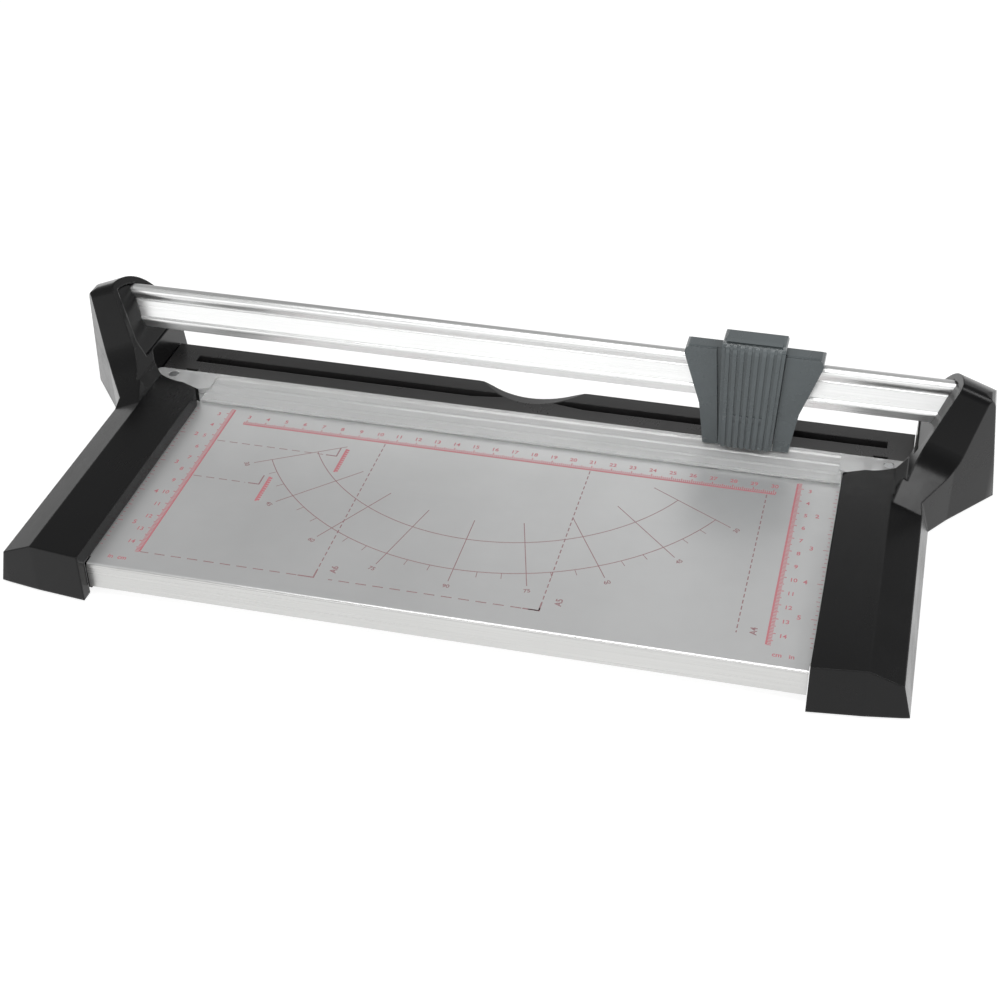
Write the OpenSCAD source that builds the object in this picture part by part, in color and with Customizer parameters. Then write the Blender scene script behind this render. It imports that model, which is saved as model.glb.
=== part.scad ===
// Rotary paper trimmer: flat bed, two arms with towers, guide rail and sliding blade carriage.
// Millimetres. X runs along the rail, Y to the back, Z up; Z = 0 is the table.
// Side parts are drawn in a local frame: x outward from the bed edge, y from the cutting line,
// z from the top of the mat.

/* [Bed] */
// Clear width between the two arms
bed_w = 331; // [220:1:460]
// Depth of the mat in front of the cutting line
mat_depth = 162; // [120:1:260]
// Height of the mat above the table
mat_z = 18; // [14:0.5:26]
// Thickness of the mat sheet
sheet_t = 1.6; // [1:0.1:3]
// Height of the folded lip along the front of the mat
lip_h = 13; // [8:0.5:16]
// Depth of the rear bed behind the cutting line
bed_back = 30; // [24:1:40]
// Width of the long slot in the rear bed
slot_w = 6; // [3:0.5:8]
// Radius of the finger notch in the rear bed
notch_r = 42; // [34:1:60]
// Depth of the finger notch
notch_depth = 8.2; // [6:0.2:10]

/* [Arms] */
// Distance the arms stand out in front of the mat
arm_nose = 6; // [2:0.5:12]
// Wall thickness of the arm covers
wall = 2.5; // [1.6:0.1:4]
// Radius of the concave sweep at the foot of each tower
sweep_r = 25; // [10:1:40]
// Radius of the rounded tower back
tower_r = 32.8; // [28:0.1:36]

/* [Rail] */
// Half length of the guide rail
rail_half = 215.5; // [180:0.5:240]
// Clearance around the rail
rail_gap = 0.5; // [0.2:0.05:1]

/* [Carriage] */
// Position of the carriage along the rail, from the middle
carriage_x = 116.2; // [-168:0.1:168]
// Half width of the wings at the top
wing_top = 34.7; // [28:0.1:40]
// Half width of the wings at the bottom
wing_low = 21.3; // [16:0.1:26]
// Number of grip ribs
rib_n = 8; // [4:1:12]
// Distance the grip goes down when pressed
press_travel = 2.5; // [1.5:0.1:3]

/* [Blade] */
// Radius of the round blade
blade_r = 14; // [9:0.5:14]
// Thickness of the blade
blade_t = 0.6; // [0.3:0.1:0.8]
// Radius of the blade axle
axle_r = 2.5; // [2:0.1:3]

/* [Hidden] */
$fn = 96;
half = bed_w / 2;
front_y = mat_depth + arm_nose;
back_y = 38;
cut_y = (front_y - back_y) / 2;
tilt = 24.6;
yaw = 8.5;
ramp_a = 36.1;
front_a = 71.6;
knee = [-22.6, 31.4];
hood_c = [-6.6, 35];
lean = 0.52;
blade_c = 16.2;
black = [0.07, 0.07, 0.075];
dark = [0.16, 0.16, 0.17];
silver = [0.78, 0.79, 0.8];
steel = [0.62, 0.63, 0.65];
grey = [0.36, 0.38, 0.39];
rubber = [0.1, 0.1, 0.1];

// ---- helpers ----

module right_side() {
    translate([half, cut_y, mat_z])
        children();
}

module left_side() {
    mirror([1, 0, 0])
        right_side()
            children();
}

module on_line() {
    translate([0, cut_y, mat_z])
        children();
}

module at_carriage() {
    translate([carriage_x, cut_y, mat_z])
        children();
}

// extrude a (y, z) outline along x, from x0 to x1
module along_x(x0, x1) {
    translate([x0, 0, 0])
        rotate([90, 0, 90])
            linear_extrude(x1 - x0)
                children();
}

// extrude an (x, z) outline along y, from y0 to y1
module along_y(y0, y1) {
    translate([0, y1, 0])
        rotate([90, 0, 0])
            linear_extrude(y1 - y0)
                children();
}

// extrude an (x, y) outline along z, from z0 to z1
module along_z(z0, z1) {
    translate([0, 0, z0])
        linear_extrude(z1 - z0)
            children();
}

module box(x0, x1, y0, y1, z0, z1) {
    translate([x0, y0, z0])
        cube([x1 - x0, y1 - y0, z1 - z0]);
}

module post(x, y, z0, z1, r) {
    translate([x, y, z0])
        cylinder(h = z1 - z0, r = r);
}

// piece between a corner and the arc of radius r that rounds it; a and b are edge directions
module corner_chip(k, a, b, r) {
    h = (b - a) / 2;
    t = r / tan(h);
    difference() {
        polygon([k, k + t * [cos(a), sin(a)], k + t * [cos(b), sin(b)]]);
        translate(k + r / sin(h) * [cos((a + b) / 2), sin((a + b) / 2)])
            circle(r = r);
    }
}

// ---- bed ----

module plate_section() {
    difference() {
        translate([-mat_depth, -lip_h])
            square([mat_depth - 2.8, lip_h]);
        translate([-mat_depth + sheet_t, -lip_h - 1])
            square([mat_depth - 2.8 - 2 * sheet_t, lip_h + 1 - sheet_t]);
        translate([-8, -lip_h - 1])
            square([8, lip_h - 7]);
        corner_chip([-mat_depth, 0], -90, 0, 1.8);
    }
}

module plate_hole_places() {
    for (y = [-140, -40])
        translate([6.2, y, 0])
            children();
}

module base_plate() {
    color(silver) {
        on_line()
            along_x(-half + 0.3, half - 0.3)
                plate_section();
        for (s = [0, 1])
            mirror([s, 0, 0])
                right_side()
                    difference() {
                        box(-0.4, 9.5, -156, -2.8, -sheet_t, 0);
                        plate_hole_places()
                            post(0, 0, -3, 1, 1.8);
                    }
    }
}

module bed_outline() {
    difference() {
        union() {
            translate([-half - 32.7, -2.4])
                square([bed_w + 65.4, bed_back + 2.4]);
            for (s = [-1, 1])
                translate([s * (half + 10), 6.5])
                    circle(r = 24.5);
        }
        for (s = [0, 1])
            mirror([s, 0, 0]) {
                translate([half - 30, -40])
                    square([39.8, 37.6]);
                translate([half + 32.7, -40])
                    square([20, 80]);
                translate([half - 30, bed_back])
                    square([70, 20]);
                difference() {
                    translate([half + 10, -30])
                        square([30, 36.5]);
                    translate([half + 10, 6.5])
                        circle(r = 24.5);
                }
            }
        finger_notch();
    }
}

// wave-shaped notch: a wide arc with the two outer shoulders rounded away
module finger_notch() {
    over = notch_r - notch_depth;
    translate([0, bed_back + over])
        circle(r = notch_r);
    for (s = [0, 1])
        mirror([s, 0, 0])
            corner_chip([sqrt(notch_r * notch_r - over * over), bed_back], -146, 0, 18);
}

// shallow slanted scoop that eases the front edge of the notch
module notch_scoop() {
    r = 2.7 * notch_r;
    translate([0, bed_back - notch_depth - 7.8, 0])
        rotate([78, 0, 0])
            translate([0, r, -60])
                cylinder(h = 75, r = r);
}

// half of the long slot, with its tip running out along the notch
module slot_half(end) {
    y = 14.3;
    along_z(-9, 1)
        polygon([[13.2, y + 2.5], [30, y], [end, y], [end, y + slot_w], [18.3, y + slot_w]]);
}

module bed_screw_places() {
    for (p = [[18, 20], [18, 2]])
        translate([p[0], p[1], 0])
            children();
}

module rear_bed() {
    color(dark)
        difference() {
            on_line()
                along_z(-13, 0)
                    bed_outline();
            on_line() {
                slot_half(half + 19.6);
                mirror([1, 0, 0])
                    slot_half(half + 18);
                notch_scoop();
                box(-half - 6, half + 6, -1.8, 1.8, -1.6, 1);
                box(-half - 9, half + 9, -0.8, 0.8, -1.2, 1);
                for (s = [-1, 1])
                    translate([s * (half + 17), 5.6, -2])
                        linear_extrude(4)
                            square([7, 2.4], center = true);
                box(-half + 2, half - 2, 1, 12.5, -14, -3.2);
            }
            for (s = [0, 1])
                mirror([s, 0, 0])
                    right_side() {
                        bed_screw_places()
                            post(0, 0, -14, -5, 1.8);
                        box(12.5, 19.5, -10.5, -0.5, -2.6, 1);
                        post(21.6, -5.8, -11, 1, 1.6);
                    }
        }
}

module cutting_strip() {
    color([0.85, 0.85, 0.83])
        on_line()
            difference() {
                box(-half - 5.8, half + 5.8, -1.6, 1.6, -1.6, -0.1);
                box(-half - 7, half + 7, -0.6, 0.6, -1.15, 1);
            }
}

// ---- arms and towers ----

// front sweep, rounded top and back of a tower, set in by g, seen along the tilted direction
module tower_profile(g) {
    k = knee + g * [0.848, -0.62];
    difference() {
        intersection() {
            union() {
                translate(knee)
                    rotate(ramp_a)
                        translate([-60, -160 - g])
                            square([130, 160]);
                translate(knee)
                    rotate(front_a)
                        translate([-80, -160 - g])
                            square([180, 160]);
                corner_chip(k, front_a, ramp_a + 180, sweep_r);
            }
            union() {
                translate(hood_c)
                    circle(r = tower_r - g);
                translate(hood_c)
                    rotate(13.1)
                        translate([-120, -120])
                            square([120 + tower_r - g, 120]);
                translate([hood_c[0] - 80, hood_c[1] - 40])
                    square([80, 60]);
            }
        }
        corner_chip([-10.49 + 0.721 * g, hood_c[1] + tower_r - g], front_a - 180, 0, 5.4 - g);
    }
}

module tilted_prism(g) {
    rotate([0, 0, yaw])
        rotate([0, tilt, 0])
            along_x(-40, 130)
                tower_profile(g);
}

// plan of the flared tower, set in by g
module tower_plan(g) {
    difference() {
        polygon([[24.9 + g, -36 + g], [38.5 - 0.4 * g, -36 + g], [52.5 - 0.75 * g, -16 + 0.65 * g],
                 [74 - g, 10.2 + 0.35 * g], [74 - g, back_y - g], [24.9 + g, back_y - g]]);
        corner_chip([74 - g, 10.2 + 0.35 * g], 90, 230.6, 16 - g);
        corner_chip([74 - g, back_y - g], 180, 270, 7 - g);
    }
}

// outer and inner lean of the tower, set in by g on the outside and gi on the inside
module tower_lean(g, gi) {
    top = 43.9 - 0.67 * g;
    k = [74 - g - (top + 17) * 10 / 87, top];
    r = 8 - g;
    m = k - r / cos(29.4) * [cos(36), sin(36)];
    edge = [for (i = [0 : 3]) m + r * [cos(65.4 - 19.6 * i), sin(65.4 - 19.6 * i)]];
    polygon(concat([[24.9 + gi, -17], [24.9 + gi, 8.1], [30.5 + gi, 12], [28.4 + gi + 46 * lean, 54],
                    edge[0] + [-8.8, 6]], edge, [[74 - g, -17]]));
}

// low arm outline in (x, z), set in by g
module arm_section(g) {
    polygon([[0.3 + g, -17], [0.3 + g, 8 - g], [24.6 - 0.3 * g, 8.2 - g],
             [40.1 - 0.8 * g, 0.6 - 0.8 * g], [44.2 - g, -17]]);
}

module arm_plan(g) {
    difference() {
        polygon([[0.3, -front_y + g], [24.6, -front_y + 2.6 + g], [40.1, -front_y + 5 + g],
                 [45, -front_y + 6 + g], [45, -20], [36, 0], [24, 2], [10.5, -18.6 - g],
                 [0.3, -23 - g]]);
        corner_chip([0.3, -23 - g], -90, 23.3, 8);
    }
}

// room for the end of the rear bed, grown by g
module recess_plan(g) {
    difference() {
        union() {
            translate([10, 6.5])
                circle(r = 25 + g);
            translate([-5, 4])
                square([60, 40]);
        }
        translate([33.1 + g, -40])
            square([60, 100]);
    }
}

module arm_solid() {
    difference() {
        union() {
            intersection() {
                along_y(-front_y - 2, 4)
                    arm_section(0);
                along_z(-20, 20)
                    arm_plan(0);
            }
            intersection() {
                tilted_prism(0);
                union() {
                    intersection() {
                        along_z(-17, 70)
                            tower_plan(0);
                        along_y(-60, 60)
                            tower_lean(0, 0);
                    }
                    along_y(-46, -30)
                        polygon([[25.4, -17], [25.4, 8], [28.4, 14], [36.5, 16], [44.2, -17]]);
                }
            }
        }
        along_z(-20, 90)
            recess_plan(0);
    }
}

module cover_posts() {
    for (p = [[20, -150], [20, -60], [58, 14]])
        translate([p[0], p[1], 0])
            children();
}

module arm_cover_shape() {
    difference() {
        union() {
            difference() {
                arm_solid();
                arm_hollow();
            }
            intersection() {
                arm_solid();
                union() {
                    cover_posts()
                        post(0, 0, -11.6, 18, 4);
                    box(60, 75, 12.8, 15.2, -11.6, 18);
                }
            }
        }
        cover_posts()
            post(0, 0, -12, -1, 1.8);
        box(-1, 2.9, -161.8, 40, -30, 0.3);
        box(-1, 9.9, -27.4, 0, -30, 0.3);
        along_x(30, rail_half - half + 0.4)
            rail_outline(0.35);
        box(-1, 38.6, -40, 40, -30, -13.8);
    }
}

module arm_hollow() {
    intersection() {
        along_y(-front_y + 9, -27)
            arm_section(wall);
        along_z(-30, 20)
            arm_plan(wall);
    }
    intersection() {
        tilted_prism(wall);
        along_z(-30, 70)
            tower_plan(wall);
        along_y(-60, 60)
            tower_lean(wall, wall + 0.4);
        difference() {
            box(0, 90, -60, 60, -30, 90);
            along_z(-30, 90)
                recess_plan(wall);
        }
    }
    intersection() {
        tilted_prism(4);
        along_z(15, 71)
            tower_plan(1.9);
        box(20, 60, -11, 50, 16, 90);
    }
    box(30, 37.5, -38, -26, -30, -3);
    box(30, 41.3, -38, -26, -30, -13);
}

module arm_cover_l() {
    color(black)
        left_side()
            arm_cover_shape();
}

module arm_cover_r() {
    color(black)
        right_side()
            arm_cover_shape();
}

module seat_posts() {
    for (y = [9, 21])
        translate([42.5, y, 0])
            children();
}

module foot_places() {
    for (p = [[31, -148], [60, 26]])
        translate([p[0], p[1], 0])
            children();
}

module tray_plan() {
    polygon([[0.8, -158.6], [38, -157.4], [40.6, -156.8], [40.9, -33], [41.1, -28],
             [49.8, -14.4], [66.6, 6.4], [70.6, 16], [70.6, 25], [66, 30], [12, 30], [12, -18], [0.8, -22]]);
}

module arm_base_shape() {
    difference() {
        union() {
            along_z(-16.8, -14.4)
                tray_plan();
            box(0.8, 3, -158.6, -27, -14.5, -sheet_t - 0.1);
            cover_posts()
                post(0, 0, -16.8, -11.8, 5.5);
            box(38.9, 47.4, 3, 27, -14.5, -11.8);
            bed_screw_places()
                post(0, 0, -14.5, -13.1, 4.5);
            plate_hole_places()
                post(0, 0, -14.5, -sheet_t - 0.1, 3.1);
            foot_places()
                post(0, 0, -16.8, -12.6, 9);
        }
        cover_posts() {
            post(0, 0, -18, -14.6, 3.6);
            post(0, 0, -18, -11, 1.8);
        }
        seat_posts() {
            post(0, 0, -18, -14.6, 3.6);
            post(0, 0, -18, -11, 1.8);
        }
        bed_screw_places() {
            post(0, 0, -18, -15, 3.4);
            post(0, 0, -18, -12, 1.8);
        }
        plate_hole_places()
            post(0, 0, -10, 1, 1.8);
        foot_places()
            post(0, 0, -18, -15.2, 7.2);
    }
}

module arm_base_l() {
    color(black)
        left_side()
            arm_base_shape();
}

module arm_base_r() {
    color(black)
        right_side()
            arm_base_shape();
}

// cheek that closes the inside of the tower and holds the end of the rail
module rail_seat_shape() {
    end = rail_half - half;
    difference() {
        union() {
            intersection() {
                tilted_prism(4.5);
                along_z(15.4, 70)
                    tower_plan(2.4);
                along_y(-10.6, 60)
                    polygon([[36.8 - 5.8 * lean, 16.1], [36.8 + 30 * lean, 51.9],
                             [39.8 + 30 * lean, 51.9], [39.8, 21.9], [39.8, 16.1]]);
            }
            intersection() {
                along_x(39, end + 4)
                    translate([2, 20])
                        square([18.6, 27.3]);
                along_y(-20, 60)
                    polygon([[39.4, 20], [39.4, 21.9], [39.4 + 30 * lean, 51.9], [70, 51.9],
                             [70, 20]]);
                tilted_prism(4.5);
            }
            box(39, 47.2, 3.2, 26.8, -11.6, 21);
        }
        along_x(20, end + 0.3)
            rail_outline(0.3);
        along_x(20, end + 8)
            rail_screw_places()
                circle(r = 1.8);
        seat_posts()
            post(0, 0, -12, 8, 1.8);
    }
}

module rail_seat_l() {
    color(black)
        left_side()
            rail_seat_shape();
}

module rail_seat_r() {
    color(black)
        right_side()
            rail_seat_shape();
}

// ---- rail ----

// outside of the extrusion in (y, z), grown by g
module rail_outline(g) {
    difference() {
        polygon([[4.2 - g, 25 - g], [4.6 - g, 29.6 + 0.5 * g], [5.9 - g, 30.2 + 0.5 * g],
                 [10.3 - g, 37.2 + 0.5 * g], [10.3 - g, 43.7 + g], [16.5 + g, 43.7 + g],
                 [16.5 + g, 25 - g]]);
        corner_chip([4.6 - g, 29.6 + 0.5 * g], -95, 24.8, 2.1 + g);
        corner_chip([10.3 - g, 43.7 + g], -90, 0, 3.9 + g);
        corner_chip([16.5 + g, 43.7 + g], 180, 270, 2 + g);
    }
}

module rail_screw_places() {
    translate([12.2, 29.8])
        children();
    translate([13.5, 38.9])
        children();
}

module rail_section() {
    difference() {
        rail_outline(0);
        difference() {
            polygon([[6.4, 26.8], [7, 28.9], [11.7, 36], [14.3, 36], [14.3, 26.8]]);
            translate([12.2, 29.8])
                circle(r = 3.1);
        }
        rail_screw_places()
            circle(r = 1.8);
        translate([10.1, 37.6])
            circle(r = 0.8);
        translate([15.1, 31])
            square([2, 3.4]);
    }
}

module guide_rail() {
    color(silver)
        on_line()
            along_x(-rail_half, rail_half)
                rail_section();
}

// ---- fasteners and feet ----

// pan-head screw pointing up, head underside at z = 0
module screw_up(len, head_r) {
    cylinder(h = len, r = 1.5);
    difference() {
        translate([0, 0, -1.7])
            cylinder(h = 1.7, r = head_r);
        for (a = [0, 90])
            rotate(a)
                translate([-1.6, -0.35, -2])
                    cube([3.2, 0.7, 1.2]);
    }
}

module both_sides() {
    for (s = [0, 1])
        mirror([s, 0, 0])
            right_side()
                children();
}

module rail_screws() {
    color(steel)
        both_sides()
            for (p = [[12.2, 29.8], [13.5, 38.9]])
                translate([rail_half - half + 4.05, p[0], p[1]])
                    rotate([0, -90, 0])
                        screw_up(16, 2.6);
}

module seat_screws() {
    color(steel)
        both_sides()
            seat_posts()
                translate([0, 0, -14.6])
                    screw_up(18, 3.1);
}

module arm_screws() {
    color(steel)
        both_sides()
            cover_posts()
                translate([0, 0, -14.6])
                    screw_up(12, 3.1);
}

module bed_screws() {
    color(steel)
        both_sides()
            bed_screw_places()
                translate([0, 0, -15])
                    screw_up(8, 3);
}

module plate_screws() {
    color(steel)
        both_sides()
            plate_hole_places()
                mirror([0, 0, 1])
                    screw_up(8, 2.7);
}

module rubber_feet() {
    color(rubber)
        both_sides()
            foot_places()
                translate([0, 0, -mat_z])
                    cylinder(h = 2.7, r = 7);
}

// ---- clear clamp strip ----

module clamp_section() {
    polygon([[-23.4, 1], [-23.4, 1.9], [-22.2, 2.1], [-21.4, 1.8], [-17.4, 2.1], [-16.6, 2.8],
             [-15.4, 2.8], [-14.6, 2.3], [-10.6, 2.6], [-9.8, 3.2], [-8.4, 3.2], [-7.6, 2.8],
             [-4.2, 3.2], [-3.4, 4], [-0.9, 4], [-0.9, 1]]);
}

// ear at each end of the strip, tapering behind the arm
module clamp_ear() {
    intersection() {
        translate([10, 6.5])
            circle(r = 24.2);
        difference() {
            polygon([[-2, -19.5], [40, -19.5], [40, -0.95], [-2, -0.95]]);
            corner_chip([33, -0.95], 180, 252, 3);
            translate([33, -0.95])
                rotate(252)
                    translate([-3, -0.05])
                        square([7, 12]);
        }
    }
}

module clamp_strip() {
    color([0.9, 0.93, 0.93, 0.4])
        difference() {
            union() {
                on_line()
                    along_x(-half + 0.5, half - 0.5)
                        clamp_section();
                both_sides()
                    along_z(1, 3.9)
                        clamp_ear();
            }
            both_sides() {
                post(21.6, -5.8, 0, 5, 1.57);
                post(21.6, -5.8, 2.6, 5, 2.6);
            }
        }
}

module clamp_pins() {
    color(steel)
        both_sides()
            translate([21.6, -5.8, 0]) {
                translate([0, 0, -10.5])
                    cylinder(h = 14, r = 1.5);
                translate([0, 0, 2.8])
                    cylinder(h = 1, r = 2.3);
            }
}

// bowed leaf of span s and height h, width w along y
module bow_leaf(s, h, w) {
    r = (s * s / 4 + h * h) / (2 * h);
    translate([0, -w / 2, 0])
        along_y(0, w)
            intersection() {
                translate([0, h - r])
                    difference() {
                        circle(r = r);
                        circle(r = r - 0.35);
                    }
                translate([-s / 2, 0])
                    square([s, h + 1]);
            }
}

module clamp_springs() {
    color(steel)
        both_sides()
            translate([16, -5.5, -2.5])
                rotate(90)
                    bow_leaf(9.4, 3.4, 4.6);
}

// ---- carriage ----

// wing outline in (x, z), set in by g
module wing_shape(g) {
    low = wing_low - g;
    knee_x = wing_low + 3.4 - g;
    top = wing_top - g;
    polygon([[-low, 4], [-knee_x, 24], [-top + 0.6, 48.6], [-top + 0.9, 50.3], [-top + 2.1, 51.7],
             [-top + 5.6, 54], [top - 5.6, 54], [top - 2.1, 51.7], [top - 0.9, 50.3],
             [top - 0.6, 48.6], [knee_x, 24], [low, 4]]);
}

module body_profile() {
    difference() {
        polygon([[-6.5, 4], [4.2, 52.2], [13, 52.2], [20.9, 46.9], [20.9, 36], [10, 30],
                 [8, 24.4], [8, 4]]);
        corner_chip([4.2, 52.2], -102.5, 0, 2.6);
    }
}

module body_cavity() {
    polygon([[-4.2, 3], [5.9, 49.8], [12.4, 49.8], [18.4, 45.8], [18.4, 20], [9, 20], [9, 3]]);
}

// half width of the grip at height z above the mat
function grip_half(z) = 13.1 + 2.4 * (z - 5) / 50;

module grip_shape(g) {
    h = grip_half(56.2) + g;
    polygon([[-grip_half(0) - g, 0], [-h, 56.2], [-h + 0.6, 57.7], [-h + 2.7, 59.4],
             [h - 2.7, 59.4], [h - 0.6, 57.7], [h, 56.2], [grip_half(0) + g, 0]]);
}

module carriage_body() {
    color(grey)
        at_carriage()
            difference() {
                union() {
                    difference() {
                        intersection() {
                            along_x(-40, 40)
                                body_profile();
                            along_y(-20, 40)
                                wing_shape(0);
                        }
                        intersection() {
                            along_x(-40, 40)
                                body_cavity();
                            along_y(-20, 40)
                                wing_shape(2.4);
                        }
                    }
                    channel_floor();
                }
                channel_space();
                along_x(-40, 40)
                    rail_outline(rail_gap);
                box(-13.5, 13.5, -12, 4.6, 0, 26.5);
                for (s = [-1, 1])
                    translate([s * 12, 0, 0])
                        back_screw_bore();
            }
}

// recessed wall behind the grip
module channel_floor() {
    intersection() {
        along_x(-19, 19)
            polygon([[-6.5 + 2, 4], [4.2 + 2, 52.2], [4.2 + 4, 52.2], [-6.5 + 4, 4]]);
        box(-19, 19, -12, 20, 26.5, 51);
    }
}

module channel_space() {
    intersection() {
        along_y(-20, 40)
            polygon([[-grip_half(0) - 0.45, 0], [-grip_half(62) - 3.6, 62],
                     [grip_half(62) + 0.45, 62], [grip_half(0) + 0.45, 0]]);
        along_x(-20, 20)
            polygon([[-12, 0], [-6.5 + 2 - 0.222 * 4, 0], [4.2 + 2, 52.2 - 0.4], [4.2 + 2, 60],
                     [-12, 60]]);
    }
}

module back_screw_bore() {
    translate([0, 18, 39.5])
        rotate([-90, 0, 0])
            cylinder(h = 12, r = 1.8);
}

module carriage_back() {
    color(grey)
        at_carriage()
            difference() {
                along_x(-22, 22)
                    difference() {
                        polygon([[21.2, 27], [21.2, 31.5], [15.6, 31.5], [15.6, 33.9], [21.2, 33.9],
                                 [21.2, 44.4], [23, 44.4], [24.4, 42.4], [24.4, 27]]);
                        corner_chip([24.4, 27], 90, 180, 1.4);
                    }
                for (s = [-1, 1])
                    translate([s * 12, 0, 0]) {
                        back_screw_bore();
                        translate([0, 23, 39.5])
                            rotate([-90, 0, 0])
                                cylinder(h = 4, r = 3.3);
                    }
            }
}

module carriage_screws() {
    color(steel)
        at_carriage()
            for (s = [-1, 1])
                translate([s * 12, 23, 39.5])
                    rotate([90, 0, 0])
                        screw_up(4.2, 2.9);
}

module carriage_glides() {
    color([0.9, 0.9, 0.88])
        at_carriage()
            for (s = [-1, 1])
                along_x(s * 19.2 - 3, s * 19.2 + 3)
                    difference() {
                        polygon([[8.3, 31], [8.3, 49.7], [12.4, 49.7], [17.8, 46.1], [17.8, 35], [16.4, 35], [16.4, 31]]);
                        rail_outline(0.3);
                    }
}

module press_spring() {
    color(steel)
        at_carriage()
            translate([0, 9, 52.25])
                bow_leaf(21, press_travel + 0.5, 5);
}

// side outline of the grip in (y, z), its front set in by g, its top edge rounded with radius r
module grip_outer(g, r) {
    k = [0.9 + g, 58.6];
    difference() {
        polygon([[-10.7 + g, 5.8], k, [12.6, 59], [15, 57.6], [15, 55.4], [3.4, 55.4],
                 [1.6, 53.4], [-6.3, 14], [-7.7, 5.8]]);
        corner_chip(k, -102.4, 2, r);
    }
}

module press_grip() {
    color(grey)
        at_carriage()
            difference() {
                union() {
                    intersection() {
                        along_x(-20, 20)
                            grip_outer(1, 6.5);
                        along_y(-20, 40)
                            grip_shape(0);
                    }
                    grip_flanges();
                    grip_ribs();
                    box(-9, 9, -7, -3.2, 9, 22);
                }
                for (s = [-1, 1])
                    translate([s * 6.6, -6.6, 15])
                        rotate([-90, 0, 0])
                            cylinder(h = 8, r = 1.3);
                along_y(-4.8, 5)
                    translate([0, blade_c])
                        circle(r = 4.6);
                box(-17, 17, -3.2, 6, 0, 26.3);
            }
}

module grip_flanges() {
    intersection() {
        along_x(-20, 20)
            polygon([[-9.6, 5.8], [-6.2, 5.8], [4.5, 52.2], [4.5, 55.4], [0.8, 55.4]]);
        difference() {
            along_y(-20, 40)
                grip_shape(0);
            along_y(-20, 40)
                grip_shape(-1.7);
        }
    }
}

module grip_ribs() {
    for (i = [0 : rib_n - 1]) {
        t = (i + 0.5) / rib_n * 2 - 1;
        intersection() {
            translate([t * (grip_half(5) - 0.9), 0, 5])
                rotate([0, atan(t * 2.2 / 50), 0])
                    translate([0, 0, -5])
                        along_x(-0.95, 0.95)
                            difference() {
                                grip_outer(0, 8.6);
                                translate([4, 0])
                                    square([20, 60]);
                            }
            along_y(-20, 40)
                grip_shape(0.05);
        }
    }
}

module blade_holder() {
    color(dark)
        at_carriage()
            difference() {
                union() {
                    box(-9.5, 9.5, -3.1, -1.3, 8.6, 24.4);
                    box(-9.5, 9.5, 1.3, 3.1, 8.6, 24.4);
                    along_y(-3.1, -1.3)
                        translate([0, blade_c])
                            circle(r = 9.5);
                    along_y(1.3, 3.1)
                        translate([0, blade_c])
                            circle(r = 9.5);
                    for (s = [0, 1])
                        mirror([s, 0, 0])
                            box(12, 13.2, -3.1, 3.1, 24, 26);
                    box(-13.2, 13.2, -3.1, -1.3, 20, 26);
                    box(-13.2, 13.2, 1.3, 3.1, 20, 26);
                }
                along_y(-5, 5)
                    translate([0, blade_c])
                        circle(r = axle_r + 0.3);
                for (s = [-1, 1])
                    translate([s * 6.6, -5, 15])
                        rotate([-90, 0, 0])
                            cylinder(h = 4.5, r = 1.3);
            }
}

module holder_screws() {
    color(steel)
        at_carriage()
            for (s = [-1, 1])
                translate([s * 6.6, -1.25, 15])
                    rotate([90, 0, 0]) {
                        cylinder(h = 5, r = 1);
                        translate([0, 0, -0.5])
                            cylinder(h = 0.5, r = 1.9);
                    }
}

module blade_washers() {
    color(steel)
        at_carriage()
            for (y = [-1.25, blade_t / 2 + 0.15])
                along_y(y, y + 0.8)
                    translate([0, blade_c])
                        difference() {
                            circle(r = 4.5);
                            circle(r = axle_r + 0.3);
                        }
}

module blade() {
    color([0.86, 0.87, 0.88])
        at_carriage()
            translate([0, blade_t / 2, blade_c])
                rotate([90, 0, 0])
                    difference() {
                        union() {
                            cylinder(h = blade_t, r = blade_r - 1.2);
                            translate([0, 0, blade_t / 2 - 0.1])
                                cylinder(h = 0.2, r = blade_r);
                            translate([0, 0, blade_t / 2])
                                cylinder(h = blade_t / 2, r1 = blade_r, r2 = blade_r - 1.2);
                            cylinder(h = blade_t / 2, r1 = blade_r - 1.2, r2 = blade_r);
                        }
                        translate([0, 0, -1])
                            cylinder(h = 3, r = axle_r + 0.05);
                        for (a = [0 : 60 : 300])
                            rotate(a)
                                translate([8.6, 0, -1])
                                    cylinder(h = 3, r = 1.1);
                    }
}

module blade_axle() {
    color(steel)
        at_carriage()
            translate([0, 0, blade_c]) {
                along_y(-3.2, 4)
                    circle(r = axle_r);
                along_y(-4.3, -3.15)
                    circle(r = 4.2);
            }
}

module blade_nut() {
    color(steel)
        at_carriage()
            translate([0, 0, blade_c])
                along_y(3.15, 5.4)
                    difference() {
                        circle(r = 4.6, $fn = 6);
                        circle(r = axle_r + 0.3);
                    }
}

base_plate();
rear_bed();
cutting_strip();
arm_cover_l();
arm_cover_r();
arm_base_l();
arm_base_r();
rail_seat_l();
rail_seat_r();
guide_rail();
rail_screws();
seat_screws();
arm_screws();
bed_screws();
plate_screws();
rubber_feet();
clamp_strip();
clamp_pins();
clamp_springs();
carriage_body();
carriage_back();
carriage_screws();
carriage_glides();
press_spring();
press_grip();
blade_holder();
holder_screws();
blade_washers();
blade();
blade_axle();
blade_nut();
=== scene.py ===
"""Looks of the rotary paper trimmer: materials, the printed mat, the floor, the light and the camera."""

import math

import bmesh
import bpy
from mathutils import Matrix, Vector


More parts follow.
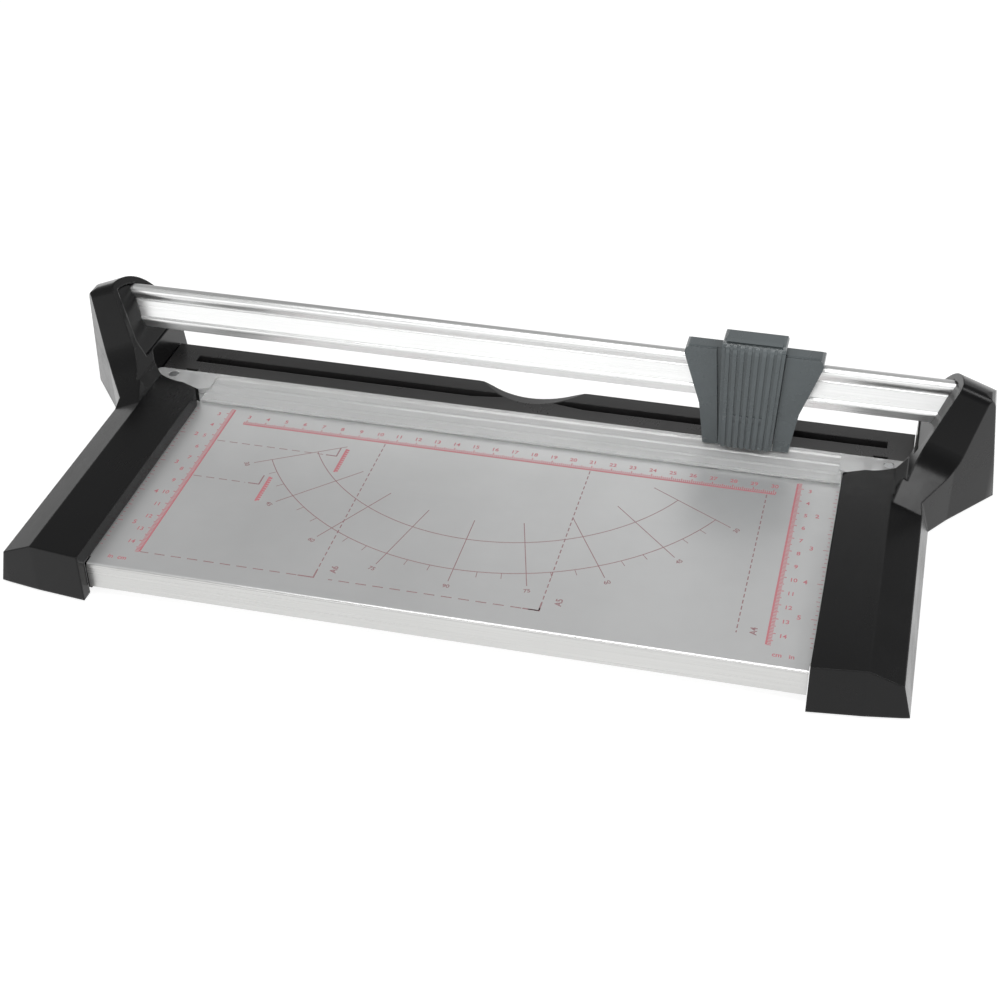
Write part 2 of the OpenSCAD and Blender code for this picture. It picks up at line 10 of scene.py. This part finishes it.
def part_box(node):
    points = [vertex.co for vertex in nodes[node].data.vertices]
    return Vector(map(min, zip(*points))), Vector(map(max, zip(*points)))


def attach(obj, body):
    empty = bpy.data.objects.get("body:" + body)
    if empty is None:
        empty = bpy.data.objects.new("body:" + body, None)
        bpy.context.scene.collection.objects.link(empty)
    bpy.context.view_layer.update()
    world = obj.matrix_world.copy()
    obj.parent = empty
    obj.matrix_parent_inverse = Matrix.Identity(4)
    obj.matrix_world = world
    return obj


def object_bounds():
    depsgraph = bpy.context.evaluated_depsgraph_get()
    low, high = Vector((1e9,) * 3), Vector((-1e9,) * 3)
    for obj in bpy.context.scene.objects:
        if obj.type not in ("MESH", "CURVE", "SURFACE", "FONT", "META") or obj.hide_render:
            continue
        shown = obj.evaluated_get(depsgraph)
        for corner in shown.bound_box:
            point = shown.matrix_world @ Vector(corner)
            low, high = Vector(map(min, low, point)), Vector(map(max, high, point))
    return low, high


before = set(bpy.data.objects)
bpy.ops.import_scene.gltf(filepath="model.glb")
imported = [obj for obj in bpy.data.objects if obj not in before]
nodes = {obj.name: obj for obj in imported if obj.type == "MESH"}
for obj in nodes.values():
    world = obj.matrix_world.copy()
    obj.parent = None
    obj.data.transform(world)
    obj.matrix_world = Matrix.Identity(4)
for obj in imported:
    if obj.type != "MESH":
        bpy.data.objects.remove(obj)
cad_low, cad_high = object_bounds()
MM = 0.001

# ---- places taken from the CAD ----

strip_low, strip_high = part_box("cutting_strip")
blade_low, blade_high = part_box("blade")
SIDE_GAP = 0.3 * MM
MAT_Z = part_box("base_plate")[1].z
CUT_Y = (strip_low.y + strip_high.y) / 2
BED_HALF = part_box("arm_cover_r")[0].x - SIDE_GAP
BLADE_AT = (blade_low + blade_high) / 2
BLADE_FLAT = 12.7 * MM


# ---- shader helpers ----


def new_tree(name):
    """A material with one Principled shader; returns (material, tree, shader)."""
    material = bpy.data.materials.new(name)
    material.use_nodes = True
    tree = material.node_tree
    tree.nodes.clear()
    shader = tree.nodes.new("ShaderNodeBsdfPrincipled")
    output = tree.nodes.new("ShaderNodeOutputMaterial")
    tree.links.new(shader.outputs[0], output.inputs[0])
    return material, tree, shader


def put(tree, target, value):
    """Links a socket to target, or sets target's own value."""
    if isinstance(value, bpy.types.NodeSocket):
        tree.links.new(value, target)
    elif isinstance(value, (tuple, list)) and len(value) == 3 and target.type == "RGBA":
        target.default_value = (*value, 1)
    else:
        target.default_value = value


def coords(tree, stretch=(1, 1, 1), shift=(0, 0, 0)):
    """Object coordinates in metres, shifted and then stretched."""
    source = tree.nodes.new("ShaderNodeTexCoord")
    mapping = tree.nodes.new("ShaderNodeMapping")
    tree.links.new(source.outputs["Object"], mapping.inputs["Vector"])
    mapping.inputs["Location"].default_value = shift
    mapping.inputs["Scale"].default_value = stretch
    return mapping.outputs[0]


def noise(tree, vector, scale, detail, roughness=0.55):
    made = tree.nodes.new("ShaderNodeTexNoise")
    tree.links.new(vector, made.inputs["Vector"])
    made.inputs["Scale"].default_value = scale
    made.inputs["Detail"].default_value = detail
    made.inputs["Roughness"].default_value = roughness
    return made.outputs["Fac"]


def remap(tree, value, low, high, to_low, to_high):
    made = tree.nodes.new("ShaderNodeMapRange")
    for name, v in (("Value", value), ("From Min", low), ("From Max", high),
                    ("To Min", to_low), ("To Max", to_high)):
        put(tree, made.inputs[name], v)
    return made.outputs[0]


def mix(tree, factor, a, b):
    made = tree.nodes.new("ShaderNodeMix")
    made.data_type = "RGBA"
    put(tree, made.inputs[0], factor)
    put(tree, made.inputs[6], a)
    put(tree, made.inputs[7], b)
    return made.outputs[2]


def calc(tree, operation, a, b):
    made = tree.nodes.new("ShaderNodeMath")
    made.operation = operation
    put(tree, made.inputs[0], a)
    put(tree, made.inputs[1], b)
    return made.outputs[0]


def bump(tree, shader, height, distance, strength, normal=None):
    made = tree.nodes.new("ShaderNodeBump")
    made.inputs["Strength"].default_value = strength
    made.inputs["Distance"].default_value = distance
    tree.links.new(height, made.inputs["Height"])
    if normal is not None:
        tree.links.new(normal, made.inputs["Normal"])
    tree.links.new(made.outputs[0], shader.inputs["Normal"])


def altitude(tree, vector):
    """The Z coordinate of a vector."""
    split = tree.nodes.new("ShaderNodeSeparateXYZ")
    tree.links.new(vector, split.inputs[0])
    return split.outputs["Z"]


def rounded_normal(tree, radius):
    """A normal softened along sharp edges."""
    rounded = tree.nodes.new("ShaderNodeBevel")
    rounded.samples = 6
    rounded.inputs["Radius"].default_value = radius
    return rounded.outputs[0]


def edge_mask(tree, soft, low, high):
    """1 along sharp edges and 0 on flat faces, from the angle between true and softened normals."""
    geometry = tree.nodes.new("ShaderNodeNewGeometry")
    dot = tree.nodes.new("ShaderNodeVectorMath")
    dot.operation = "DOT_PRODUCT"
    tree.links.new(soft, dot.inputs[0])
    tree.links.new(geometry.outputs["Normal"], dot.inputs[1])
    return remap(tree, dot.outputs["Value"], high, low, 0.0, 1.0)


def scaled(colour, k):
    """A colour made lighter or darker, with white as its limit."""
    return tuple(min(1.0, c * k) for c in colour)


# ---- materials ----


def plastic(name, colour, rough, grain=1500.0, depth=0.00003, wear=0.35, specular=0.5,
            soft=0.8 * MM, eased=True):
    """Moulded plastic: fine spark-eroded grain, faint cloudiness, handling marks, lighter worn edges."""
    material, tree, shader = new_tree(name)
    place = coords(tree)
    broad = noise(tree, place, 28.0, 4.0)
    fine = noise(tree, place, grain, 2.0)
    smear = noise(tree, coords(tree, (1.0, 0.25, 1.0)), 90.0, 5.0, 0.7)
    cloudy = mix(tree, remap(tree, broad, 0.3, 0.7, 0.0, 1.0), scaled(colour, 0.86), scaled(colour, 1.16))
    softened = rounded_normal(tree, soft)
    edge = edge_mask(tree, softened, 0.82, 0.99)
    worn = calc(tree, "MULTIPLY", edge, remap(tree, smear, 0.35, 0.65, 0.15, wear))
    lighter = tuple(c * 1.3 + 0.012 for c in colour)
    put(tree, shader.inputs["Base Color"], mix(tree, worn, cloudy, lighter))
    handled = calc(tree, "ADD", remap(tree, broad, 0.3, 0.7, rough - 0.05, rough + 0.05),
                   remap(tree, smear, 0.45, 0.75, 0.0, 0.07))
    put(tree, shader.inputs["Roughness"], handled)
    shader.inputs["Specular IOR Level"].default_value = specular
    bump(tree, shader, fine, depth, 0.5, softened if eased else None)
    return material


def brushed(name, colour, rough, streaks, depth, film=None):
    """Satin anodised metal with drawn streaks along X; film is a flat print colour over the top face."""
    material, tree, shader = new_tree(name)
    streak = noise(tree, coords(tree, (0.006, 1, 1)), streaks, 4.0, 0.65)
    broad = noise(tree, coords(tree), 14.0, 4.0)
    speck = noise(tree, coords(tree), 2600.0, 1.0)
    tone = calc(tree, "ADD", calc(tree, "MULTIPLY", streak, 0.7), calc(tree, "MULTIPLY", broad, 0.3))
    bare = mix(tree, remap(tree, tone, 0.3, 0.7, 0.0, 1.0), scaled(colour, 0.9), scaled(colour, 1.06))
    if film:
        on_top = remap(tree, altitude(tree, coords(tree)), MAT_Z - 0.4 * MM, MAT_Z - 0.1 * MM, 0.0, 1.0)
        inked = mix(tree, remap(tree, broad, 0.3, 0.7, 0.0, 1.0), scaled(film, 0.94), scaled(film, 1.05))
        put(tree, shader.inputs["Base Color"], mix(tree, on_top, bare, inked))
        put(tree, shader.inputs["Metallic"], remap(tree, on_top, 0.0, 1.0, 1.0, 0.72))
        put(tree, shader.inputs["Roughness"],
            calc(tree, "ADD", remap(tree, streak, 0.3, 0.7, rough - 0.05, rough + 0.06),
                 calc(tree, "MULTIPLY", on_top, 0.08)))
    else:
        put(tree, shader.inputs["Base Color"], bare)
        shader.inputs["Metallic"].default_value = 1.0
        put(tree, shader.inputs["Roughness"], remap(tree, streak, 0.3, 0.7, rough - 0.05, rough + 0.07))
    height = calc(tree, "ADD", streak, calc(tree, "MULTIPLY", speck, 0.4))
    bump(tree, shader, height, depth, 0.6)
    return material


def clear_plastic(name, tint, rough):
    """Clear acrylic with faint scuffs and mould flow."""
    material, tree, shader = new_tree(name)
    scuff = noise(tree, coords(tree, (0.15, 1, 1)), 700.0, 4.0, 0.7)
    flow = noise(tree, coords(tree, (0.3, 1, 1)), 60.0, 2.0)
    put(tree, shader.inputs["Base Color"],
        mix(tree, remap(tree, flow, 0.3, 0.7, 0.0, 1.0), tint, scaled(tint, 1.03)))
    put(tree, shader.inputs["Roughness"], remap(tree, scuff, 0.35, 0.75, rough, rough + 0.12))
    shader.inputs["IOR"].default_value = 1.49
    shader.inputs["Transmission Weight"].default_value = 0.7
    bump(tree, shader, flow, 0.00004, 0.4)
    return material


def plated(name, colour, rough):
    """Zinc-plated or plain turned steel with small blotches."""
    material, tree, shader = new_tree(name)
    blotch = noise(tree, coords(tree), 420.0, 5.0, 0.65)
    fine = noise(tree, coords(tree), 2800.0, 2.0)
    put(tree, shader.inputs["Base Color"],
        mix(tree, remap(tree, blotch, 0.3, 0.7, 0.0, 1.0), scaled(colour, 0.82), scaled(colour, 1.08)))
    shader.inputs["Metallic"].default_value = 1.0
    put(tree, shader.inputs["Roughness"], remap(tree, blotch, 0.3, 0.7, rough - 0.06, rough + 0.1))
    bump(tree, shader, fine, 0.000006, 0.5)
    return material


def ground_blade(name, colour):
    """Hardened steel disc with grinding rings round its own axle and a brighter bevel."""
    material, tree, shader = new_tree(name)
    away = tree.nodes.new("ShaderNodeVectorMath")
    away.operation = "LENGTH"
    tree.links.new(coords(tree, (1, 0, 1), (-BLADE_AT.x, 0, -BLADE_AT.z)), away.inputs[0])
    ring = tree.nodes.new("ShaderNodeCombineXYZ")
    tree.links.new(away.outputs["Value"], ring.inputs[0])
    rings = noise(tree, ring.outputs[0], 3500.0, 3.0, 0.7)
    bevel = remap(tree, away.outputs["Value"], BLADE_FLAT, BLADE_FLAT + 0.2 * MM, 0.0, 1.0)
    body = mix(tree, remap(tree, rings, 0.3, 0.7, 0.0, 1.0), scaled(colour, 0.78), colour)
    put(tree, shader.inputs["Base Color"], mix(tree, bevel, body, scaled(colour, 1.2)))
    shader.inputs["Metallic"].default_value = 1.0
    put(tree, shader.inputs["Roughness"], remap(tree, rings, 0.3, 0.7, 0.2, 0.34))
    bump(tree, shader, rings, 0.000006, 0.5)
    return material


def rubber(name, colour):
    """Matt rubber with a dusty, slightly uneven tone."""
    material, tree, shader = new_tree(name)
    fine = noise(tree, coords(tree), 1100.0, 3.0, 0.6)
    broad = noise(tree, coords(tree), 120.0, 3.0)
    put(tree, shader.inputs["Base Color"],
        mix(tree, remap(tree, broad, 0.35, 0.65, 0.0, 1.0), colour, scaled(colour, 1.7)))
    put(tree, shader.inputs["Roughness"], remap(tree, fine, 0.3, 0.7, 0.72, 0.92))
    bump(tree, shader, fine, 0.00005, 0.7)
    return material


THIN_INK = (0.50, 0.40, 0.41)


def ink(name, colour):
    """Screen-printed ink, a little thin and patchy."""
    material, tree, shader = new_tree(name)
    patch = noise(tree, coords(tree), 900.0, 4.0, 0.7)
    broad = noise(tree, coords(tree), 25.0, 3.0)
    fade = calc(tree, "MULTIPLY", remap(tree, patch, 0.4, 0.8, 0.0, 0.5),
                remap(tree, broad, 0.3, 0.7, 0.6, 1.4))
    put(tree, shader.inputs["Base Color"], mix(tree, fade, colour, THIN_INK))
    put(tree, shader.inputs["Roughness"], remap(tree, patch, 0.3, 0.7, 0.42, 0.6))
    shader.inputs["Metallic"].default_value = 0.25
    bump(tree, shader, patch, 0.00001, 0.4)
    return material


MATERIALS = {
    "mat": brushed("mat_metal", (0.60, 0.60, 0.59), 0.30, 1500.0, 0.000004, (0.72, 0.725, 0.725)),
    "rail": brushed("rail_metal", (0.86, 0.865, 0.86), 0.30, 1600.0, 0.0000015),
    "black": plastic("black_shell", (0.0025, 0.0025, 0.0027), 0.22, specular=0.24, soft=1.2 * MM),
    "dark": plastic("dark_bed", (0.032, 0.031, 0.031), 0.30, 1100.0, 0.00003),
    "grey": plastic("grey_carriage", (0.088, 0.103, 0.108), 0.27, soft=0.4 * MM, eased=False),
    "white": plastic("white_plastic", (0.74, 0.74, 0.71), 0.42, 900.0, 0.00002, 0.1),
    "clear": clear_plastic("clear_strip", (0.97, 0.98, 0.975), 0.07),
    "steel": plated("plated_steel", (0.60, 0.61, 0.62), 0.30),
    "blade": ground_blade("blade_steel", (0.72, 0.73, 0.74)),
    "rubber": rubber("foot_rubber", (0.016, 0.016, 0.017)),
}
WEARS = {
    "mat": ["base_plate"],
    "rail": ["guide_rail"],
    "black": ["arm_cover_l", "arm_cover_r", "arm_base_l", "arm_base_r", "rail_seat_l", "rail_seat_r"],
    "dark": ["rear_bed", "blade_holder"],
    "grey": ["carriage_body", "carriage_back", "press_grip"],
    "white": ["cutting_strip", "carriage_glides"],
    "clear": ["clamp_strip"],
    "steel": ["rail_screws", "seat_screws", "arm_screws", "bed_screws", "plate_screws", "clamp_pins",
              "clamp_springs", "carriage_screws", "press_spring", "holder_screws", "blade_washers",
              "blade_axle", "blade_nut"],
    "blade": ["blade"],
    "rubber": ["rubber_feet"],
}
for key, names in WEARS.items():
    for name in names:
        slots = nodes[name].data.materials
        slots.clear()
        slots.append(MATERIALS[key])


# ---- the printed mat ----


INK_Z0 = MAT_Z - 0.02 * MM
INK_Z1 = MAT_Z + 0.03 * MM
ARC_STEPS = 60
# crossing strokes differ in height by parts of this step, over this many levels
INK_STEP = 0.004 * MM
LEVELS = 7
# extra lift of long strokes and of rays, in steps
LONG = 0.25
RAY = 0.125
# outward offset that makes lettering bolder, as a share of its size
BOLDER = 0.022


class Print:
    """Ink as thin solids on the mat; points are (mm from the left stop, mm from the cutting line)."""

    def __init__(self, level):
        self.mesh = bmesh.new()
        self.level = level
        self.count = 0

    def place(self, x, y):
        return -BED_HALF + x * MM, CUT_Y + y * MM

    def slab(self, corners, lift):
        """A thin prism; level, lift and the running count keep the tops of crossing slabs apart."""
        self.count += 1
        top = INK_Z1 + (self.count % LEVELS + self.level + lift) * INK_STEP
        low = [self.mesh.verts.new((*self.place(*c), INK_Z0)) for c in corners]
        high = [self.mesh.verts.new((*self.place(*c), top)) for c in corners]
        n = len(corners)
        self.mesh.faces.new(high)
        self.mesh.faces.new(low[::-1])
        for i in range(n):
            j = (i + 1) % n
            self.mesh.faces.new((low[i], low[j], high[j], high[i]))

    def line(self, a, b, width, lift=0.0):
        """A straight stroke from a to b."""
        dx, dy = b[0] - a[0], b[1] - a[1]
        length = math.hypot(dx, dy)
        nx, ny = -dy / length * width / 2, dx / length * width / 2
        right = [(a[0] - nx, a[1] - ny), (b[0] - nx, b[1] - ny)]
        left = [(b[0] + nx, b[1] + ny), (a[0] + nx, a[1] + ny)]
        self.slab(right + left, lift)

    def dashes(self, a, b, width, dash, gap):
        """A dashed stroke from a to b."""
        length = math.dist(a, b)
        at = 0.0
        while at < length:
            s, e = at / length, min(at + dash, length) / length
            start = [a[i] + (b[i] - a[i]) * s for i in (0, 1)]
            end = [a[i] + (b[i] - a[i]) * e for i in (0, 1)]
            self.line(start, end, width)
            at += dash + gap

    def arc(self, centre, radius, start, end, width):
        """A curved stroke between two angles in degrees."""
        turns = [math.radians(start + (end - start) * k / ARC_STEPS) for k in range(ARC_STEPS + 1)]
        outer = [(radius + width / 2, t) for t in turns]
        inner = [(radius - width / 2, t) for t in turns[::-1]]
        rim = [(centre[0] + r * math.cos(t), centre[1] + r * math.sin(t)) for r, t in outer + inner]
        self.slab(rim, LONG)

    def text(self, words, at, size, angle=0.0):
        """Plain lettering centred on a point and turned by an angle in degrees."""
        curve = bpy.data.curves.new("words", "FONT")
        curve.body = words
        curve.size = size * MM
        curve.offset = size * MM * BOLDER
        curve.align_x = "CENTER"
        curve.align_y = "CENTER"
        curve.extrude = (INK_Z1 - INK_Z0) / 2
        holder = bpy.data.objects.new("words", curve)
        bpy.context.scene.collection.objects.link(holder)
        bpy.context.view_layer.update()
        made = bpy.data.meshes.new_from_object(holder.evaluated_get(bpy.context.evaluated_depsgraph_get()))
        x, y = self.place(*at)
        turn = Matrix.Rotation(math.radians(angle), 4, "Z")
        made.transform(Matrix.Translation((x, y, (INK_Z0 + INK_Z1) / 2)) @ turn)
        self.mesh.from_mesh(made)
        bpy.data.meshes.remove(made)
        bpy.data.objects.remove(holder)
        bpy.data.curves.remove(curve)

    def finish(self, name, material):
        """Makes the collected ink one piece that stays on the base."""
        data = bpy.data.meshes.new(name)
        self.mesh.to_mesh(data)
        self.mesh.free()
        data.materials.append(material)
        piece = bpy.data.objects.new(name, data)
        bpy.context.scene.collection.objects.link(piece)
        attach(piece, "base")


MAT_W = 2 * BED_HALF / MM
INCH = 25.4
BASE_LINE = 0.9
TICK = 0.5


def tick_length(k, whole, half, lengths):
    """The longest of three lengths on whole marks, the middle one on half marks, the shortest elsewhere."""
    if k % whole == 0:
        return lengths[0]
    return lengths[1] if k % half == 0 else lengths[2]


def print_strip_ruler(p):
    """The centimetre ruler along the clamp strip, 3 to 30."""
    base = -37.3
    p.line((29.0, base), (301.0, base), BASE_LINE, LONG)
    foot = base + 0.3
    for k in range(29, 302):
        p.line((k, foot), (k, foot + tick_length(k, 10, 5, (3.2, 2.5, 1.9))), TICK)
    for k in range(3, 31):
        p.text(str(k), (10 * k, base + 6.5), 3.7)


def print_side_scale(p, side, x, cm_x, inch_x, edge_x):
    """Centimetres on a line, inches at the edge of the mat; side is -1 on the left and 1 on the right."""
    p.line((x - side * 0.7, -26.0), (x - side * 0.7, -148.0), BASE_LINE, LONG)
    for k in range(26, 149):
        tall = tick_length(k, 10, 5, (3.0, 2.4, 1.8))
        p.line((x - side * 0.4, -k), (x - side * 0.4 + side * tall, -k), TICK)
    for k in range(3, 15):
        p.text(str(k), (cm_x, -10 * k - 1.3), 3.6)
    for k in range(2, 6):
        p.text(str(k), (inch_x, -INCH * k), 4.0)
    for k in range(9, 47):
        tall = tick_length(k, 8, 4, (2.6, 1.8, 1.1))
        p.line((edge_x, -k * INCH / 8), (edge_x - side * tall, -k * INCH / 8), 0.3)
    p.text("cm", (cm_x - side * 1.0, -154.0), 3.6)
    p.text("in", (inch_x, -154.0), 3.6)


def print_formats(p):
    """The dashed lines of the A sizes, each with its name; A6 and A5 have a closed corner."""
    for x, left, name in ((105.0, 21.0, "A6"), (210.0, 112.0, "A5"), (297.0, None, "A4")):
        low = -143.0 if left is None else -148.0
        p.dashes((x, -38.5), (x, low), 0.55, 2.6, 1.7)
        if left is not None:
            p.dashes((x, low), (left, low), 0.55, 5.0, 3.0)
            p.line((x, low), (x, low + 5.5), 0.75)
            p.line((x + 0.4, low), (x - 7.5, low), 0.75)
        p.text(name, (x + 7.5, -140.5), 4.4, 90.0)


def print_small_formats(p, bars):
    """Two small formats: a dashed line with a bracket in ink p, and a solid bar in ink bars."""
    for y, corner in ((-54.0, 84.5), (-85.2, 55.3)):
        p.dashes((21.5, y), (corner - 7.0, y), 0.45, 4.2, 2.4)
        p.line((corner - 5.5, y), (corner, y), 0.7)
        p.line((corner, y - 0.3), (corner, y + 7.5), 0.7)
        for k in range(11):
            at = y + 6.0 - 1.8 * k
            bars.line((corner + 2.9, at), (corner + 4.8, at), 1.3)
        bars.line((corner + 3.2, y + 7.0), (corner + 3.2, y - 13.2), 1.1, LONG)


def print_protractor(p):
    """Two arcs about the middle of the cutting line, rays every 15 degrees and ticks every 5."""
    centre = Vector((MAT_W / 2 - 0.3, 0.0))
    inner, outer, first, last = 105.0, 128.0, -150.0, -30.0
    p.arc(centre, inner, first, last, 0.42)
    p.arc(centre, outer, first, last, 0.42)
    for k in range(25):
        turn = first + 5.0 * k
        out = Vector((math.cos(math.radians(turn)), math.sin(math.radians(turn))))
        if k % 3 == 0:
            p.line(centre + out * (inner - 15.0), centre + out * (outer + 9.0), 0.42, RAY)
            shown = int(abs(turn)) if turn >= -90 else int(180 + turn)
            p.text(str(shown), centre + out * (outer + 12.6), 3.3, turn + 90.0)
        else:
            p.line(centre + out * outer, centre + out * (outer + 4.0), 0.32, RAY)


ruler_ink = Print(0.0)
guide_ink = Print(0.5)
print_strip_ruler(ruler_ink)
print_side_scale(ruler_ink, -1, 19.75, 13.6, 9.0, 0.4)
print_side_scale(ruler_ink, 1, 311.4, 317.2, 322.6, MAT_W - 0.4)
print_formats(guide_ink)
print_small_formats(guide_ink, ruler_ink)
print_protractor(guide_ink)
ruler_ink.finish("mat_rulers", ink("print_red", (0.62, 0.21, 0.24)))
guide_ink.finish("mat_guides", ink("print_muted", (0.36, 0.21, 0.22)))


# ---- floor, light and camera ----


def make_floor():
    """A wide pale floor just under the feet, faintly luminous so that it stays white."""
    mesh = bmesh.new()
    bmesh.ops.create_grid(mesh, x_segments=12, y_segments=12, size=6.0)
    data = bpy.data.meshes.new("floor")
    mesh.to_mesh(data)
    mesh.free()
    floor = bpy.data.objects.new("floor", data)
    floor.location.z = cad_low.z - 0.2 * MM
    bpy.context.scene.collection.objects.link(floor)
    material, tree, shader = new_tree("floor_paper")
    soft = noise(tree, coords(tree), 3.0, 3.0)
    put(tree, shader.inputs["Base Color"], mix(tree, soft, (0.28, 0.28, 0.28), (0.32, 0.32, 0.32)))
    shader.inputs["Roughness"].default_value = 0.9
    shader.inputs["Emission Color"].default_value = (1.0, 1.0, 1.0, 1.0)
    shader.inputs["Emission Strength"].default_value = 0.86
    shader.inputs["Specular IOR Level"].default_value = 0.1
    data.materials.append(material)


def area_light(name, place, target, size, power):
    """A soft rectangular lamp at place that looks at target."""
    data = bpy.data.lights.new(name, "AREA")
    data.shape = "RECTANGLE"
    data.size, data.size_y = size
    data.energy = power
    lamp = bpy.data.objects.new(name, data)
    lamp.location = place
    lamp.rotation_euler = (Vector(target) - Vector(place)).to_track_quat("-Z", "Y").to_euler()
    bpy.context.scene.collection.objects.link(lamp)


make_floor()
area_light("top", (0.0, -0.35, 1.5), (0.0, 0.0, 0.0), (1.0, 0.5), 6.5)
area_light("front", (-0.5, -2.1, 1.0), (0.0, 0.0, 0.05), (2.4, 0.9), 9.0)
area_light("back", (0.3, 1.7, 1.2), (0.0, 0.0, 0.05), (1.5, 0.5), 1.0)
area_light("shoulder", (0.0, -0.75, 1.25), (0.1, 0.0, 0.05), (0.8, 0.12), 2.6)
area_light("right", (1.25, -0.1, 1.15), (0.1, 0.0, 0.05), (0.55, 0.5), 5.0)

# the studio is brighter near the horizon
world = bpy.data.worlds.new("studio")
world.use_nodes = True
sky = world.node_tree
backdrop = sky.nodes["Background"]
backdrop.inputs["Color"].default_value = (1.0, 1.0, 1.0, 1.0)
upward = altitude(sky, sky.nodes.new("ShaderNodeTexCoord").outputs["Generated"])
put(sky, backdrop.inputs["Strength"], remap(sky, upward, 0.1, 0.34, 0.6, 0.36))
bpy.context.scene.world = world
bpy.context.scene.view_settings.view_transform = "Standard"

camera_data = bpy.data.cameras.new("camera")
camera_data.lens = 63.45
camera_data.sensor_width = 36.0
camera_data.shift_x = -0.05
camera_data.clip_start = 0.05
camera = bpy.data.objects.new("camera", camera_data)
camera.location = (0.1842, CUT_Y - 0.7316, MAT_Z + 0.4995)
camera.rotation_euler = (math.radians(53.82), 0.0, math.radians(12.99))
bpy.context.scene.collection.objects.link(camera)
bpy.context.scene.camera = camera
